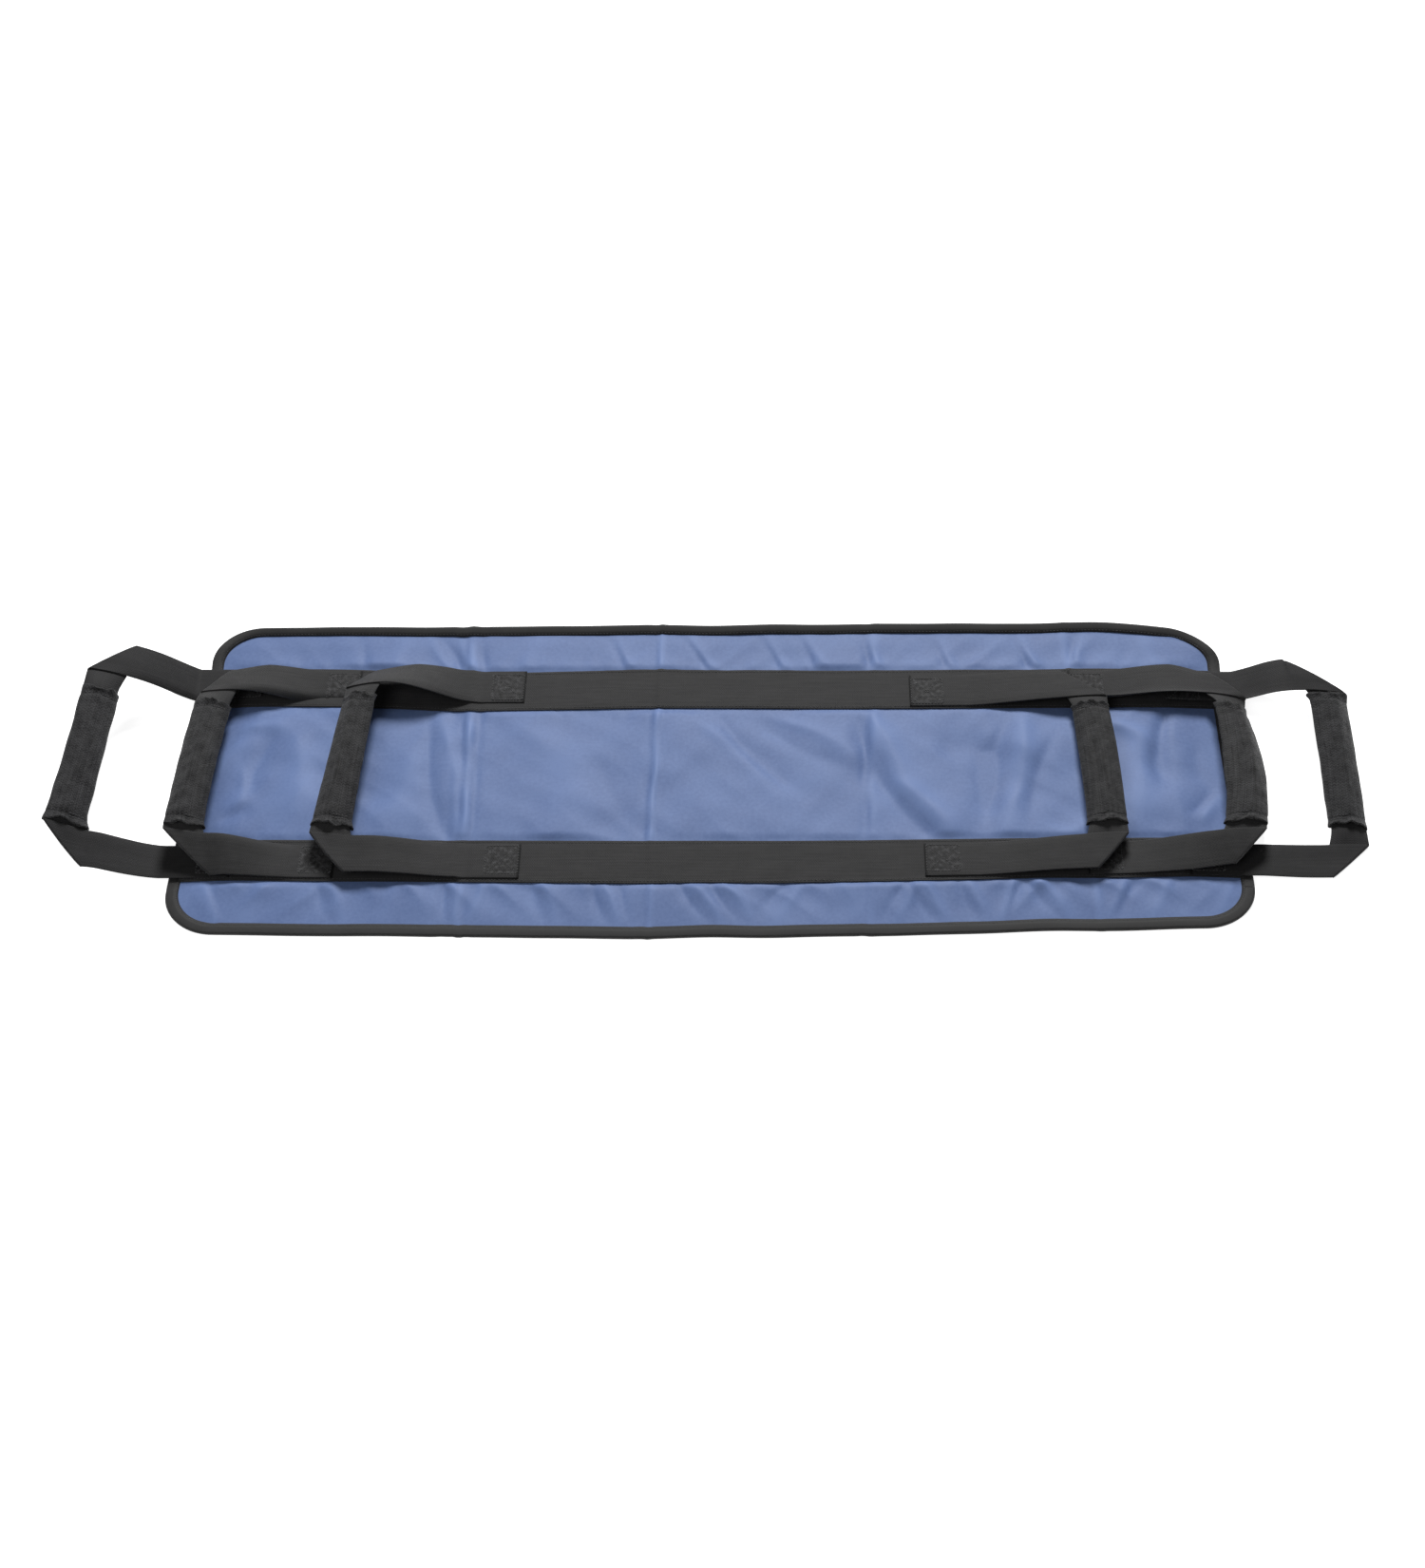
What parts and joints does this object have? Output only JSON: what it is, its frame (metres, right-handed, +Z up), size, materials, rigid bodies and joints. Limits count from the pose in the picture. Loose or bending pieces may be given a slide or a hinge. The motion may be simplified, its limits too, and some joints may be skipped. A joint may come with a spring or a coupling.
{
  "type": "patient transfer sling",
  "caption": "Flat padded fabric sling with two base straps and nested webbing carrying handles at both ends, for sliding or lifting a person.",
  "frame": {"origin": "on the ground, under the centre of the pad", "axes": "+X along the pad's length to its right end, +Y across the pad to its rear edge, +Z up"},
  "size_m": [1.2825, 0.39, 0.053],
  "materials": {
    "cover": "matte",
    "backing": "matte",
    "foam": "matte",
    "binding": "matte",
    "webbing": "matte",
    "thread": "matte"
  },
  "bodies": {
    "pad_right": {"foam_core_right": "foam", "bottom_cover_right": "backing", "top_cover_right": "cover", "edge_binding_right": "binding", "base_strap_front_right": "webbing", "base_strap_rear_right": "webbing", "inner_right_sewn_ends": "webbing", "inner_right_box_stitches": "thread", "second_right_sewn_ends": "webbing", "second_right_box_stitches": "thread", "outer_right_sewn_ends": "webbing", "outer_right_box_stitches": "thread"},
    "pad_left": {"foam_core_left": "foam", "bottom_cover_left": "backing", "top_cover_left": "cover", "edge_binding_left": "binding", "base_strap_front_left": "webbing", "base_strap_rear_left": "webbing", "inner_left_sewn_ends": "webbing", "inner_left_box_stitches": "thread", "second_left_sewn_ends": "webbing", "second_left_box_stitches": "thread", "outer_left_sewn_ends": "webbing", "outer_left_box_stitches": "thread"},
    "inner_left_handle": {"inner_left_loop": "webbing", "inner_left_grip_sleeve": "webbing"},
    "inner_right_handle": {"inner_right_loop": "webbing", "inner_right_grip_sleeve": "webbing"},
    "second_left_handle": {"second_left_loop": "webbing", "second_left_grip_sleeve": "webbing"},
    "second_right_handle": {"second_right_loop": "webbing", "second_right_grip_sleeve": "webbing"},
    "outer_left_handle": {"outer_left_loop": "webbing", "outer_left_grip_sleeve": "webbing"},
    "outer_right_handle": {"outer_right_loop": "webbing", "outer_right_grip_sleeve": "webbing"}
  },
  "joints": [
    {"name": "centre_fold", "type": "hinge", "parent": "pad_right", "child": "pad_left", "pos_m": [0, 0, -0.001], "axis": [0, -1, 0], "range_deg": [-60, 175]},
    {"name": "inner_left_lift", "type": "hinge", "parent": "pad_left", "child": "inner_left_handle", "pos_m": [-0.24, 0, 0.0112], "axis": [0, 1, 0], "range_deg": [-5.5, 161]},
    {"name": "inner_right_lift", "type": "hinge", "parent": "pad_right", "child": "inner_right_handle", "pos_m": [0.262, 0, 0.0112], "axis": [0, -1, 0], "range_deg": [-2.5, 164]},
    {"name": "second_left_lift", "type": "hinge", "parent": "pad_left", "child": "second_left_handle", "pos_m": [-0.402, 0, 0.0112], "axis": [0, 1, 0], "range_deg": [-8.5, 78]},
    {"name": "second_right_lift", "type": "hinge", "parent": "pad_right", "child": "second_right_handle", "pos_m": [0.405, 0, 0.0112], "axis": [0, -1, 0], "range_deg": [-1.5, 85]},
    {"name": "outer_left_lift", "type": "hinge", "parent": "pad_left", "child": "outer_left_handle", "pos_m": [-0.534, 0, 0.0112], "axis": [0, 1, 0], "range_deg": [-24, 68]},
    {"name": "outer_right_lift", "type": "hinge", "parent": "pad_right", "child": "outer_right_handle", "pos_m": [0.534, 0, 0.0112], "axis": [0, -1, 0], "range_deg": [-4, 88]}
  ]
}
